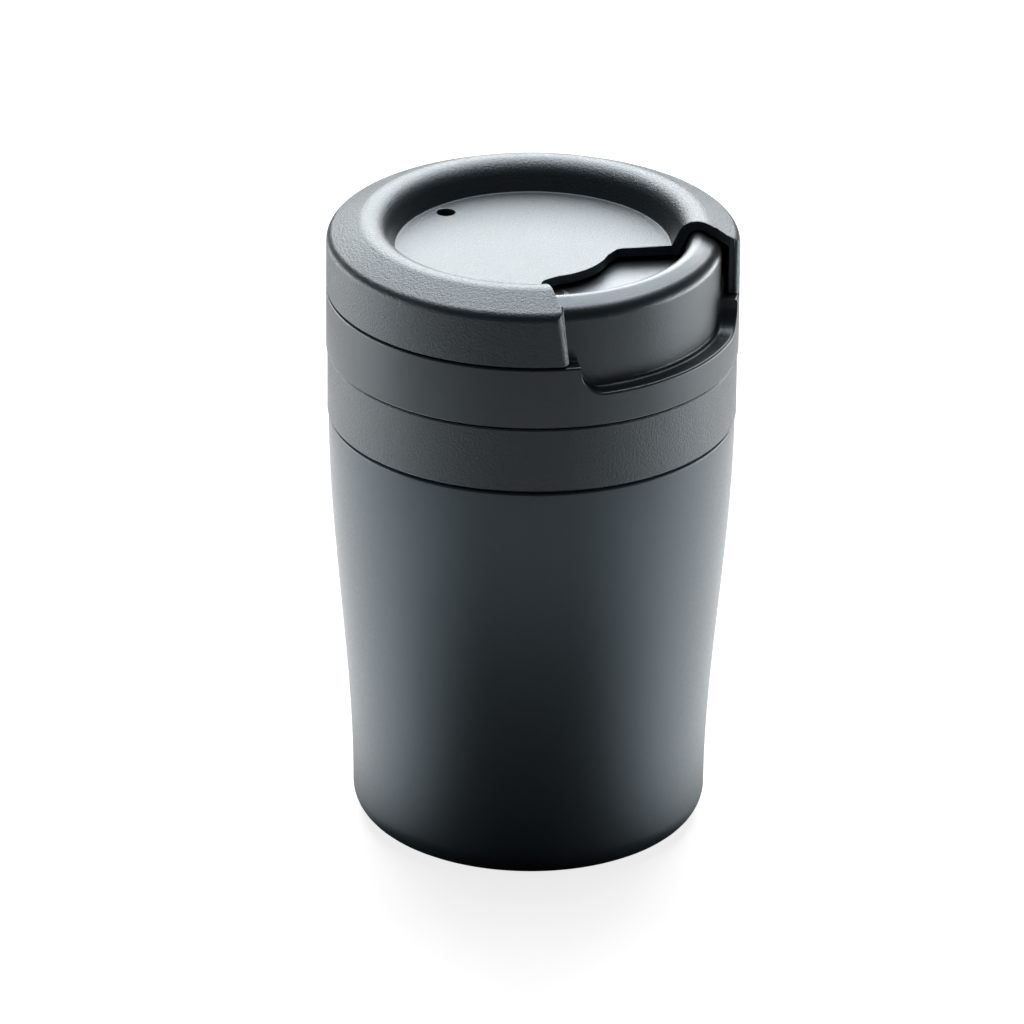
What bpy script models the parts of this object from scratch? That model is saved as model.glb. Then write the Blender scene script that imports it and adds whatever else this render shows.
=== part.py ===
"""Insulated tumbler: a double-walled steel cup, a threaded collar, and a lid with a turning cap.

Sizes are in metres and +Z is up. The origin is at the centre of the cup's base.
Directions round the axis are in degrees from +X, counter-clockwise seen from above.
The pieces stand as in use with the lid screwed down and the cap turned open.
"""
import math

import bmesh
import bpy
from mathutils import Vector

# Overall sizes
LID_RADIUS = 0.0390
BASE_RADIUS = 0.0337
SHELL_HEIGHT = 0.08335
COLLAR_HEIGHT = 0.0128
LID_RING_HEIGHT = 0.0121
CAP_SIDE_HEIGHT = 0.01025

# Clearances
SEAT_GAP = 0.0003
RUN_GAP = 0.0003
SKIRT_GAP = 0.0012
THREAD_GAP = 0.0004

# Cup walls
SHELL_INSET = 0.0005
SHELL_WALL = 0.0010
BASE_FILLET = 0.0055
FOOT_WIDTH = 0.0020
SHOULDER_ROUND = 0.0005
NECK_STEP = 0.0025
NECK_HEIGHT = 0.0023
LINER_WALL = 0.0007
LINER_GAP = 0.0036
LINER_FLOOR_HEIGHT = 0.0080
LINER_FLANGE = 0.0008

# Cup base
BASE_COVER_THICKNESS = 0.0006
SHELL_BOTTOM_THICKNESS = 0.0008
SEAL_BEAD_RADIUS = 0.0027
SEAL_BEAD_HEIGHT = 0.0013
GETTER_RADIUS = 0.0050
GETTER_HEIGHT = 0.0020
GETTER_OFFSET = 0.0120

# Collar and thread
COLLAR_INSET = 0.00025
EDGE_ROUND = 0.0004
NECK_SEAL_HEIGHT = 0.0010
NECK_SEAL_WIDTH = 0.0021
LEDGE_DEPTH = 0.0030
THREAD_DEPTH = 0.0013
THREAD_ROOT_WIDTH = 0.0017
THREAD_CREST_WIDTH = 0.0011
THREAD_LEAD = 0.0120
THREAD_STARTS = 3
THREAD_SPAN = 90.0
THREAD_EMBED = 0.0004
THREAD_FIRST = 2.3

# Lid body, with the rim that is drunk from
RIM_FLOOR_THICKNESS = 0.0020
RIM_CORNER_ROUND = 0.0028
RIM_CREST_ROUND = 0.0019
RIM_SLOPE_GAP = 0.0003
LID_CHAMBER_WALL = 0.0022
DIP_DEPTH = 0.0057
DIP_HALF_ANGLE = 33.8
DIP_END_RADIUS = 0.0052
DIP_WALL_STEP = 0.0001
SLOT_DIRECTION = -60.0
SLOT_WIDTH = 0.0062
SLOT_HALF_ANGLE = 9.5
SLOT_MARGIN = 0.00265
STOP_RADIUS = 0.0127
STOP_WIDTH = 0.0024
STOP_DEPTH = 0.0010
STOP_HALF_ANGLE = 6.0

# Lid plug, with the thread and the passages
GASKET_HEIGHT = 0.0018
GASKET_WIDTH = 0.0024
PLUG_FLANGE_THICKNESS = 0.0020
PLUG_WALL = 0.0020
PLUG_FLOOR_THICKNESS = 0.0020
PLUG_DEPTH = 0.0110
PLUG_EDGE_ROUND = 0.0015
PASSAGE_WALL = 0.0012

# Cap
CAP_SKIRT_WALL = 0.0022
CAP_WALL = 0.0019
CAP_APEX_RISE = 0.00445
CAP_APEX_INSET = 0.01002
CAP_CORNER_ROUND = 0.0020
CAP_CREST_ROUND = 0.0041
RECESS_DEPTH = 0.00705
RECESS_LEAN = 0.00288
RECESS_ROUND = 0.0004
CUT_DIRECTION = -42.7
CUT_INNER_RADIUS = 0.0145
CUT_INNER_HALF_ANGLE = 28.0
CUT_CORNER_RADIUS = 0.0160
CUT_CORNER_HALF_ANGLE = 41.0
CUT_WALL_HALF_ANGLE = 44.6
CUT_OUTER_HALF_ANGLE = 39.2
CUT_ROUND = 0.0022
VENT_DIRECTION = 136.0
VENT_INSET = 0.0030
VENT_RADIUS = 0.00175
CAP_TRAVEL = 90.0

# Cap seals and pivot
PAD_MARGIN = 0.0010
PAD_POCKET_DEPTH = 0.0008
PAD_SPACE = 0.0008
VENT_PAD_RADIUS = 0.0030
HUB_RADIUS = 0.0050
ORING_RADIUS = 0.0004
SPRING_HEIGHT = 0.0014
SPRING_WIDTH = 0.0018
SPRING_STRIP = 0.0004
SPRING_WAVES = 3
WASHER_RADIUS = 0.0082
WASHER_THICKNESS = 0.0010
SCREW_RADIUS = 0.0015
SCREW_HEAD_RADIUS = 0.0032
SCREW_HEAD_HEIGHT = 0.0020
SCREW_REACH = 0.0046
SCREW_SOCKET_RADIUS = 0.0012
SCREW_SOCKET_DEPTH = 0.0012

# Fineness of round shapes
SEGMENTS = 36
SMALL_SEGMENTS = 16
WALL_STEPS = 6
ARC_STEP = 24.0
FILLET_STEPS = 5
ORING_STEPS = 8
CUT_INNER_STEPS = 4
SHARP_ANGLE = 35.0
WELD = 1e-7

# Heights of the seams and faces
COLLAR_BOTTOM = SHELL_HEIGHT + SEAT_GAP
COLLAR_TOP = COLLAR_BOTTOM + COLLAR_HEIGHT
RING_BOTTOM = COLLAR_TOP + SEAT_GAP
RING_TOP = RING_BOTTOM + LID_RING_HEIGHT
CAP_BOTTOM = RING_TOP + RUN_GAP
CAP_CORNER = CAP_BOTTOM + CAP_SIDE_HEIGHT
CAP_APEX = CAP_CORNER + CAP_APEX_RISE
RECESS_FLOOR = CAP_APEX - RECESS_DEPTH
CAP_FLOOR_BOTTOM = RECESS_FLOOR - CAP_WALL
RIM_FLOOR_TOP = CAP_FLOOR_BOTTOM - PAD_SPACE
RIM_FLOOR_BOTTOM = RIM_FLOOR_TOP - RIM_FLOOR_THICKNESS
NECK_TOP = SHELL_HEIGHT + NECK_HEIGHT
LINER_FLANGE_BOTTOM = NECK_TOP + SEAT_GAP
LINER_FLANGE_TOP = LINER_FLANGE_BOTTOM + LINER_FLANGE
NECK_SEAL_BOTTOM = LINER_FLANGE_TOP + SEAT_GAP
COLLAR_LEDGE = NECK_SEAL_BOTTOM + NECK_SEAL_HEIGHT + SEAT_GAP
GASKET_TOP = RING_BOTTOM + GASKET_HEIGHT
PLUG_FLANGE_BOTTOM = GASKET_TOP + SEAT_GAP
PLUG_FLANGE_TOP = PLUG_FLANGE_BOTTOM + PLUG_FLANGE_THICKNESS
LID_LEDGE = PLUG_FLANGE_TOP + SEAT_GAP
PLUG_BOTTOM = COLLAR_TOP - PLUG_DEPTH
PLUG_FLOOR_TOP = PLUG_BOTTOM + PLUG_FLOOR_THICKNESS
PASSAGE_TOP = RIM_FLOOR_BOTTOM - SEAT_GAP
SPRING_TOP = RIM_FLOOR_BOTTOM - SEAT_GAP
HUB_BOTTOM = SPRING_TOP - SPRING_HEIGHT
WASHER_TOP = HUB_BOTTOM - SEAT_GAP
WASHER_BOTTOM = WASHER_TOP - WASHER_THICKNESS
SCREW_HEAD_TOP = WASHER_BOTTOM - SEAT_GAP
SHELL_BOTTOM_LOW = SHELL_WALL + SEAT_GAP
SHELL_BOTTOM_TOP = SHELL_BOTTOM_LOW + SHELL_BOTTOM_THICKNESS
PAD_TOP = CAP_FLOOR_BOTTOM + PAD_POCKET_DEPTH - SEAT_GAP
PAD_BOTTOM = RIM_FLOOR_TOP + RUN_GAP

# Radii that follow from the fits
SHELL_RADIUS = LID_RADIUS - SHELL_INSET
COLLAR_RADIUS = LID_RADIUS - COLLAR_INSET
FOOT_OUTER = BASE_RADIUS - BASE_FILLET
FOOT_INNER = FOOT_OUTER - FOOT_WIDTH
NECK_RADIUS = SHELL_RADIUS - NECK_STEP
COLLAR_BORE = NECK_RADIUS + SEAT_GAP
LINER_FLANGE_RADIUS = COLLAR_BORE - SEAT_GAP
THREAD_BORE = COLLAR_BORE - LEDGE_DEPTH
PLUG_RADIUS = THREAD_BORE - THREAD_DEPTH - THREAD_GAP
PLUG_INNER = PLUG_RADIUS - PLUG_WALL
GASKET_INNER = PLUG_RADIUS + THREAD_DEPTH
GASKET_OUTER = GASKET_INNER + GASKET_WIDTH
FLANGE_RADIUS = GASKET_OUTER + SEAT_GAP
FLANGE_SEAT = FLANGE_RADIUS + SEAT_GAP
SKIRT_INNER = LID_RADIUS - CAP_SKIRT_WALL
DRINK_RADIUS = SKIRT_INNER - SKIRT_GAP
LID_CHAMBER = DRINK_RADIUS - LID_CHAMBER_WALL
HUB_BORE = HUB_RADIUS + RUN_GAP
APEX_RADIUS = LID_RADIUS - CAP_APEX_INSET
RECESS_RADIUS = APEX_RADIUS - RECESS_LEAN
VENT_PLACE = RECESS_RADIUS - VENT_INSET
SCREW_BORE = SCREW_RADIUS + SEAT_GAP


def make_material(name, colour, roughness, metallic=0.0):
    """A plain surface with the colour that shows on the object."""
    material = bpy.data.materials.new(name)
    material.use_nodes = True
    shader = material.node_tree.nodes["Principled BSDF"]
    shader.inputs["Base Color"].default_value = (*colour, 1.0)
    shader.inputs["Roughness"].default_value = roughness
    shader.inputs["Metallic"].default_value = metallic
    return material


def link_object(name, bm, material=None):
    """Turn a bmesh into a named object with smooth round faces."""
    bmesh.ops.remove_doubles(bm, verts=bm.verts, dist=WELD)
    bmesh.ops.recalc_face_normals(bm, faces=bm.faces)
    mesh = bpy.data.meshes.new(name)
    bm.to_mesh(mesh)
    bm.free()
    mesh.shade_smooth()
    mesh.set_sharp_from_angle(angle=math.radians(SHARP_ANGLE))
    piece = bpy.data.objects.new(name, mesh)
    bpy.context.collection.objects.link(piece)
    if material:
        mesh.materials.append(material)
    return piece


def on_joint(piece, pivot):
    """Parent a moving piece to the empty on its joint's axis, keeping it in place."""
    piece.parent = pivot
    piece.matrix_parent_inverse = pivot.matrix_world.inverted()


def make_pivot(name, height, parent=None):
    """An empty on the tumbler's axis."""
    pivot = bpy.data.objects.new(name, None)
    bpy.context.collection.objects.link(pivot)
    pivot.location = (0.0, 0.0, height)
    bpy.context.view_layer.update()
    if parent:
        on_joint(pivot, parent)
        bpy.context.view_layer.update()
    return pivot


def as_guide(piece):
    """Mark a shape that only cuts or adds to another one."""
    piece.hide_render = True
    piece.display_type = 'WIRE'
    return piece


def combine(piece, guide, operation):
    """Cut a guide shape out of a piece, or join it on."""
    modifier = piece.modifiers.new(guide.name, 'BOOLEAN')
    modifier.operation = operation
    modifier.object = as_guide(guide)


def direction(angle):
    """The unit vector at an angle round the axis."""
    return Vector((math.cos(math.radians(angle)), math.sin(math.radians(angle))))


def arc(centre, radius, start, end, steps):
    """Points along a circular arc, both ends included."""
    points = []
    for step in range(steps + 1):
        angle = start + (end - start) * step / steps
        points.append(Vector(centre) + radius * direction(angle))
    return points


def rounded(corners, closed=True):
    """An outline through (across, up, round) corners, each with its own rounding radius."""
    points = []
    count = len(corners)
    for index, (across, up, radius) in enumerate(corners):
        corner = Vector((across, up))
        is_end = not closed and index in (0, count - 1)
        if is_end or radius == 0.0:
            points.append(corner)
            continue
        back = (Vector(corners[index - 1][:2]) - corner).normalized()
        ahead = (Vector(corners[(index + 1) % count][:2]) - corner).normalized()
        half = back.angle(ahead) / 2.0
        centre = corner + (back + ahead).normalized() * radius / math.sin(half)
        start = back * radius / math.tan(half) + corner - centre
        turn = start.angle_signed(ahead * radius / math.tan(half) + corner - centre)
        steps = max(2, round(math.degrees(abs(turn)) / ARC_STEP))
        start_angle = math.degrees(math.atan2(start.y, start.x))
        points += arc(centre, radius, start_angle, start_angle - math.degrees(turn), steps)
    return points


def shift_line(start, end, distance):
    """A line moved sideways, to its left, by a distance."""
    along = (Vector(end) - Vector(start)).normalized()
    aside = Vector((-along.y, along.x)) * distance
    return Vector(start) + aside, Vector(end) + aside


def point_at_radius(line, radius):
    """The point of a line in the profile plane at a radius."""
    start, end = line
    return start + (end - start) * (radius - start.x) / (end.x - start.x)


def point_at_height(line, height):
    """The point of a line in the profile plane at a height."""
    start, end = line
    return start + (end - start) * (height - start.y) / (end.y - start.y)


def meeting_point(first, second):
    """Where two lines in the profile plane cross."""
    step = first[1] - first[0]
    other = second[1] - second[0]
    share = (second[0] - first[0]).cross(other) / step.cross(other)
    return first[0] + step * share


def turned(name, profile, material=None, closed=True, segments=SEGMENTS):
    """Spin a profile of (radius, height) points round the axis."""
    bm = bmesh.new()
    verts = [bm.verts.new((radius, 0.0, height)) for radius, height in profile]
    edges = [bm.edges.new(pair) for pair in zip(verts, verts[1:])]
    if closed:
        edges.append(bm.edges.new((verts[-1], verts[0])))
    bmesh.ops.spin(bm, geom=verts + edges, cent=(0.0, 0.0, 0.0), axis=(0.0, 0.0, 1.0),
                   angle=math.tau, steps=segments, use_merge=True)
    return link_object(name, bm, material)


def prism(name, plan, bottom, top, material=None):
    """Extrude a plan outline between two heights."""
    bm = bmesh.new()
    face = bm.faces.new([bm.verts.new((x, y, bottom)) for x, y in plan])
    raised = bmesh.ops.extrude_face_region(bm, geom=[face])["geom"]
    verts = [item for item in raised if isinstance(item, bmesh.types.BMVert)]
    bmesh.ops.translate(bm, verts=verts, vec=(0.0, 0.0, top - bottom))
    return link_object(name, bm, material)


def sector(name, inner, outer, middle, half_angle, bottom, top, material=None):
    """A block between two radii and two directions."""
    steps = max(2, round(2.0 * half_angle * SEGMENTS / 360.0))
    plan = arc((0.0, 0.0), outer, middle - half_angle, middle + half_angle, steps)
    plan += arc((0.0, 0.0), inner, middle + half_angle, middle - half_angle, steps)
    return prism(name, plan, bottom, top, material)


def disc(name, place, radius, bottom, top, material=None):
    """An upright round bar standing at a place in plan."""
    plan = arc(place, radius, 0.0, 360.0, SMALL_SEGMENTS)[:-1]
    return prism(name, plan, bottom, top, material)


def ring(name, inner, outer, bottom, top, material, segments=SEGMENTS):
    """A flat ring of square section."""
    profile = [(inner, bottom), (outer, bottom), (outer, top), (inner, top)]
    return turned(name, profile, material, segments=segments)


def shell_radius(height):
    """Outside radius of the cup, an ogee from the base up to the shoulder."""
    share = (height - BASE_FILLET) / (SHELL_HEIGHT - BASE_FILLET)
    share = min(max(share, 0.0), 1.0)
    return BASE_RADIUS + (SHELL_RADIUS - BASE_RADIUS) * share * share * (3.0 - 2.0 * share)


def cup_wall(inset, bottom, top):
    """Points up the cup's ogee, moved in from its outside."""
    points = []
    for step in range(WALL_STEPS + 1):
        height = bottom + (top - bottom) * step / WALL_STEPS
        points.append((shell_radius(height) - inset, height))
    return points


def make_outer_shell(material):
    """The painted wall, necked in at the top and turned under at the base."""
    corner = (FOOT_OUTER, BASE_FILLET)
    profile = [(FOOT_INNER, SHELL_WALL), (FOOT_INNER, 0.0)]
    profile += arc(corner, BASE_FILLET, -90.0, 0.0, FILLET_STEPS)
    profile += cup_wall(0.0, BASE_FILLET, SHELL_HEIGHT - SHOULDER_ROUND)[1:]
    profile += [(SHELL_RADIUS - SHOULDER_ROUND, SHELL_HEIGHT), (NECK_RADIUS, SHELL_HEIGHT)]
    profile += [(NECK_RADIUS, NECK_TOP), (NECK_RADIUS - SHELL_WALL, NECK_TOP)]
    profile += [(NECK_RADIUS - SHELL_WALL, SHELL_HEIGHT - SHELL_WALL)]
    profile += cup_wall(SHELL_WALL, BASE_FILLET, SHELL_HEIGHT - SHELL_WALL)[:0:-1]
    profile += arc(corner, BASE_FILLET - SHELL_WALL, 0.0, -90.0, FILLET_STEPS)
    return turned("outer_shell", profile, material)


def make_inner_liner(material):
    """The steel cup that holds the drink, hung from its flange on the neck."""
    inset = SHELL_WALL + LINER_GAP
    low = LINER_FLOOR_HEIGHT
    start = low + BASE_FILLET
    corner = (shell_radius(start) - inset - BASE_FILLET, start)
    profile = [(0.0, low)]
    profile += arc(corner, BASE_FILLET, -90.0, 0.0, FILLET_STEPS)
    profile += cup_wall(inset, start, LINER_FLANGE_BOTTOM)[1:]
    profile += [(LINER_FLANGE_RADIUS, LINER_FLANGE_BOTTOM), (LINER_FLANGE_RADIUS, LINER_FLANGE_TOP)]
    profile += cup_wall(inset + LINER_WALL, start, LINER_FLANGE_TOP)[:0:-1]
    profile += arc(corner, BASE_FILLET - LINER_WALL, 0.0, -90.0, FILLET_STEPS)
    profile.append((0.0, low + LINER_WALL))
    return turned("inner_liner", profile, material, closed=False)


def make_base(steel, bead, getter):
    """The pieces that close the wall from below and hold the vacuum."""
    seat = FOOT_INNER + FOOT_WIDTH - SEAT_GAP
    hole = SEAL_BEAD_RADIUS + SEAT_GAP
    cover_top = SHELL_BOTTOM_LOW - SEAT_GAP
    cover_radius = FOOT_INNER - SEAT_GAP
    cover_low = cover_top - BASE_COVER_THICKNESS
    cover = [(0.0, cover_low), (cover_radius, cover_low), (cover_radius, cover_top), (0.0, cover_top)]
    bead_top = SHELL_BOTTOM_LOW + SEAL_BEAD_HEIGHT
    getter_low = SHELL_BOTTOM_TOP + SEAT_GAP
    ring("shell_bottom", hole, seat, SHELL_BOTTOM_LOW, SHELL_BOTTOM_TOP, steel)
    turned("base_cover", cover, steel, closed=False)
    disc("vacuum_seal", (0.0, 0.0), SEAL_BEAD_RADIUS, SHELL_BOTTOM_LOW, bead_top, bead)
    disc("getter", (GETTER_OFFSET, 0.0), GETTER_RADIUS, getter_low, getter_low + GETTER_HEIGHT, getter)


def thread_ridges(name, root, crest, first_angle, middle_height):
    """The starts of a screw thread, each a helical ridge that rises counter-clockwise."""
    bm = bmesh.new()
    steps = round(THREAD_SPAN * SEGMENTS / 360.0)
    section = [(root, -THREAD_ROOT_WIDTH), (crest, -THREAD_CREST_WIDTH),
               (crest, THREAD_CREST_WIDTH), (root, THREAD_ROOT_WIDTH)]
    for start in range(THREAD_STARTS):
        rows = []
        for step in range(steps + 1):
            turn = THREAD_SPAN * (step / steps - 0.5)
            flat = direction(first_angle + 360.0 * start / THREAD_STARTS + turn)
            height = middle_height + THREAD_LEAD * turn / 360.0
            rows.append([bm.verts.new((*(radius * flat), height + width / 2.0)) for radius, width in section])
        for low, high in zip(rows, rows[1:]):
            for side in range(len(section)):
                after = (side + 1) % len(section)
                bm.faces.new((low[side], low[after], high[after], high[side]))
        bm.faces.new(rows[0])
        bm.faces.new(rows[-1])
    return link_object(name, bm)


def make_collar(material):
    """The moulded ring round the cup's neck, threaded inside for the lid."""
    profile = rounded([
        (COLLAR_RADIUS, COLLAR_TOP, EDGE_ROUND),
        (COLLAR_RADIUS, COLLAR_BOTTOM, EDGE_ROUND),
        (COLLAR_BORE, COLLAR_BOTTOM, 0.0),
        (COLLAR_BORE, COLLAR_LEDGE, 0.0),
        (THREAD_BORE, COLLAR_LEDGE, 0.0),
        (THREAD_BORE, COLLAR_TOP, EDGE_ROUND),
    ])
    collar = turned("collar", profile, material)
    middle = (COLLAR_LEDGE + COLLAR_TOP) / 2.0
    ridges = thread_ridges("collar_thread", THREAD_BORE + THREAD_EMBED, THREAD_BORE - THREAD_DEPTH,
                           THREAD_FIRST, middle)
    combine(collar, ridges, 'UNION')
    return collar


def rim_lines(offset):
    """The cap's outer slope and recess wall, both moved inwards by an offset."""
    corner = (LID_RADIUS, CAP_CORNER)
    apex = (APEX_RADIUS, CAP_APEX)
    floor_edge = (RECESS_RADIUS, RECESS_FLOOR)
    return shift_line(corner, apex, offset), shift_line(apex, floor_edge, offset)


def dip_cutter():
    """The hollow outside the rim for the lower lip, with a rounded end on each side."""
    inner = DRINK_RADIUS + DIP_WALL_STEP
    outer = LID_RADIUS + DIP_DEPTH
    steps = round(2.0 * DIP_HALF_ANGLE * SEGMENTS / 360.0) * 2
    bm = bmesh.new()
    rows = []
    for step in range(steps + 1):
        turn = DIP_HALF_ANGLE * (2.0 * step / steps - 1.0)
        to_end = math.radians(DIP_HALF_ANGLE - abs(turn)) * LID_RADIUS
        short = max(DIP_END_RADIUS - to_end, 0.0)
        rise = DIP_END_RADIUS - math.sqrt(DIP_END_RADIUS ** 2 - short ** 2)
        low = RING_TOP - DIP_DEPTH + rise
        flat = direction(CUT_DIRECTION + turn)
        corners = [(inner, low), (outer, low), (outer, CAP_CORNER), (inner, CAP_CORNER)]
        rows.append([bm.verts.new((*(radius * flat), height)) for radius, height in corners])
    for left, right in zip(rows, rows[1:]):
        for side in range(len(left)):
            after = (side + 1) % len(left)
            bm.faces.new((left[side], left[after], right[after], right[side]))
    bm.faces.new(rows[0])
    bm.faces.new(rows[-1])
    return link_object("dip_cut", bm)


def slot_radii(inner_wall):
    """The two radii of the drinking slot, set in from the wall behind the rim."""
    outer = inner_wall - SLOT_MARGIN
    return outer - SLOT_WIDTH, outer


def rim_inner_wall():
    """Radius of the upright wall behind the rim, clear of the cap's recess."""
    under = rim_lines(CAP_WALL)[1]
    return point_at_height(under, RECESS_FLOOR).x + RUN_GAP


def stop_direction():
    """Where the cap's stop lug stands when the cap is open."""
    return CUT_DIRECTION + 180.0


def make_lid_body(material):
    """The lid's outside ring, drinking rim and floor in one moulding."""
    slope, wall = rim_lines(CAP_WALL + RIM_SLOPE_GAP)
    inner_wall = rim_inner_wall()
    corner = point_at_radius(slope, DRINK_RADIUS)
    crest = meeting_point(slope, wall)
    bend = point_at_radius(wall, inner_wall)
    profile = rounded([
        (LID_RADIUS, RING_BOTTOM, EDGE_ROUND),
        (FLANGE_SEAT, RING_BOTTOM, 0.0),
        (FLANGE_SEAT, LID_LEDGE, 0.0),
        (LID_CHAMBER, LID_LEDGE, 0.0),
        (LID_CHAMBER, RIM_FLOOR_BOTTOM, 0.0),
        (HUB_BORE, RIM_FLOOR_BOTTOM, 0.0),
        (HUB_BORE, RIM_FLOOR_TOP, 0.0),
        (inner_wall, RIM_FLOOR_TOP, 0.0),
        (inner_wall, bend.y, 0.0),
        (crest.x, crest.y, RIM_CREST_ROUND),
        (DRINK_RADIUS, corner.y, RIM_CORNER_ROUND),
        (DRINK_RADIUS, RING_TOP, 0.0),
        (LID_RADIUS, RING_TOP, 0.0),
    ])
    lid = turned("lid_body", profile, material)
    combine(lid, dip_cutter(), 'DIFFERENCE')
    slot_in, slot_out = slot_radii(inner_wall)
    below = RIM_FLOOR_BOTTOM - RIM_FLOOR_THICKNESS
    above = RIM_FLOOR_TOP + RIM_FLOOR_THICKNESS
    slot = sector("slot_cut", slot_in, slot_out, SLOT_DIRECTION, SLOT_HALF_ANGLE, below, above)
    combine(lid, slot, 'DIFFERENCE')
    vent_place = VENT_PLACE * direction(VENT_DIRECTION)
    combine(lid, disc("rim_vent_cut", vent_place, VENT_RADIUS, below, above), 'DIFFERENCE')
    half_way = CAP_TRAVEL / 2.0
    reach = half_way + STOP_HALF_ANGLE + math.degrees(RUN_GAP / STOP_RADIUS)
    side = STOP_WIDTH / 2.0 + RUN_GAP
    groove = sector("stop_cut", STOP_RADIUS - side, STOP_RADIUS + side, stop_direction() - half_way,
                    reach, RIM_FLOOR_TOP - STOP_DEPTH, above)
    combine(lid, groove, 'DIFFERENCE')
    return lid


def make_lid_plug(material):
    """The hollow threaded plug under the lid, with a passage for the drink and one for air."""
    profile = rounded([
        (0.0, PLUG_BOTTOM, 0.0),
        (PLUG_RADIUS, PLUG_BOTTOM, PLUG_EDGE_ROUND),
        (PLUG_RADIUS, PLUG_FLANGE_BOTTOM, 0.0),
        (FLANGE_RADIUS, PLUG_FLANGE_BOTTOM, 0.0),
        (FLANGE_RADIUS, PLUG_FLANGE_TOP, 0.0),
        (PLUG_INNER, PLUG_FLANGE_TOP, 0.0),
        (PLUG_INNER, PLUG_FLOOR_TOP, PLUG_EDGE_ROUND),
        (0.0, PLUG_FLOOR_TOP, 0.0),
    ], closed=False)
    plug = turned("lid_plug", profile, material, closed=False)
    middle = (COLLAR_LEDGE + COLLAR_TOP) / 2.0
    between = THREAD_FIRST + 180.0 / THREAD_STARTS
    ridges = thread_ridges("plug_thread", PLUG_RADIUS - THREAD_EMBED, PLUG_RADIUS + THREAD_DEPTH,
                           between, middle)
    combine(plug, ridges, 'UNION')
    slot_in, slot_out = slot_radii(rim_inner_wall())
    wall_angle = math.degrees(PASSAGE_WALL / slot_in)
    embedded = (PLUG_BOTTOM + PLUG_FLOOR_TOP) / 2.0
    below = PLUG_BOTTOM - PLUG_FLOOR_THICKNESS
    above = PASSAGE_TOP + PASSAGE_WALL
    vent_place = VENT_PLACE * direction(VENT_DIRECTION)
    chute = sector("chute_wall", slot_in - PASSAGE_WALL, slot_out + PASSAGE_WALL, SLOT_DIRECTION,
                   SLOT_HALF_ANGLE + wall_angle, embedded, PASSAGE_TOP)
    tube = disc("vent_wall", vent_place, VENT_RADIUS + PASSAGE_WALL, embedded, PASSAGE_TOP)
    chute_hole = sector("chute_cut", slot_in, slot_out, SLOT_DIRECTION, SLOT_HALF_ANGLE, below, above)
    vent_hole = disc("plug_vent_cut", vent_place, VENT_RADIUS, below, above)
    combine(plug, chute, 'UNION')
    combine(plug, tube, 'UNION')
    combine(plug, chute_hole, 'DIFFERENCE')
    combine(plug, vent_hole, 'DIFFERENCE')
    return plug


def cut_plan():
    """The plan of the cap's opening, a rounded bite from the rim to near the middle."""
    side = [(CUT_CORNER_RADIUS, CUT_CORNER_HALF_ANGLE, CUT_ROUND),
            (RECESS_RADIUS, CUT_WALL_HALF_ANGLE, CUT_ROUND),
            (LID_RADIUS + CUT_ROUND, CUT_OUTER_HALF_ANGLE, 0.0)]
    inner = [(CUT_INNER_RADIUS, CUT_INNER_HALF_ANGLE * share / CUT_INNER_STEPS, 0.0)
             for share in range(-CUT_INNER_STEPS, CUT_INNER_STEPS + 1)]
    outside = [(2.0 * LID_RADIUS, 0.0, 0.0)]
    polar = [(radius, -turn, bend) for radius, turn, bend in reversed(side)] + inner + side + outside
    corners = [(*(radius * direction(CUT_DIRECTION + turn)), bend) for radius, turn, bend in polar]
    return rounded(corners)


def make_turn_cap(material):
    """The turning cap: dished top, skirt, hub, and the bite that frees the drinking rim."""
    slope, wall = rim_lines(CAP_WALL)
    skirt_top = point_at_radius(slope, SKIRT_INNER)
    crest = meeting_point(slope, wall)
    wall_foot = point_at_height(wall, CAP_FLOOR_BOTTOM)
    groove_middle = (RIM_FLOOR_TOP + RIM_FLOOR_BOTTOM) / 2.0
    groove_half = ORING_RADIUS + SEAT_GAP
    groove_radius = HUB_BORE - 2.0 * ORING_RADIUS - 2.0 * SEAT_GAP
    profile = rounded([
        (0.0, RECESS_FLOOR, 0.0),
        (RECESS_RADIUS, RECESS_FLOOR, RECESS_ROUND),
        (APEX_RADIUS, CAP_APEX, CAP_CREST_ROUND),
        (LID_RADIUS, CAP_CORNER, CAP_CORNER_ROUND),
        (LID_RADIUS, CAP_BOTTOM, EDGE_ROUND),
        (SKIRT_INNER, CAP_BOTTOM, 0.0),
        (skirt_top.x, skirt_top.y, 0.0),
        (crest.x, crest.y, CAP_CREST_ROUND - CAP_WALL),
        (wall_foot.x, wall_foot.y, 0.0),
        (HUB_RADIUS, CAP_FLOOR_BOTTOM, 0.0),
        (HUB_RADIUS, groove_middle + groove_half, 0.0),
        (groove_radius, groove_middle + groove_half, 0.0),
        (groove_radius, groove_middle - groove_half, 0.0),
        (HUB_RADIUS, groove_middle - groove_half, 0.0),
        (HUB_RADIUS, HUB_BOTTOM, 0.0),
        (SCREW_BORE, HUB_BOTTOM, 0.0),
        (SCREW_BORE, HUB_BOTTOM + SCREW_REACH, 0.0),
        (0.0, HUB_BOTTOM + SCREW_REACH, 0.0),
    ], closed=False)
    cap = turned("turn_cap", profile, material, closed=False)
    lug_side = STOP_WIDTH / 2.0
    lug = sector("stop_lug", STOP_RADIUS - lug_side, STOP_RADIUS + lug_side, stop_direction(),
                 STOP_HALF_ANGLE, RIM_FLOOR_TOP - STOP_DEPTH + RUN_GAP, CAP_FLOOR_BOTTOM + SEAT_GAP)
    combine(cap, lug, 'UNION')
    above = CAP_APEX + CAP_WALL
    combine(cap, prism("bite_cut", cut_plan(), CAP_BOTTOM - CAP_WALL, above), 'DIFFERENCE')
    vent_place = VENT_PLACE * direction(VENT_DIRECTION)
    combine(cap, disc("cap_vent_cut", vent_place, VENT_RADIUS, RIM_FLOOR_TOP, above), 'DIFFERENCE')
    return cap


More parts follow.
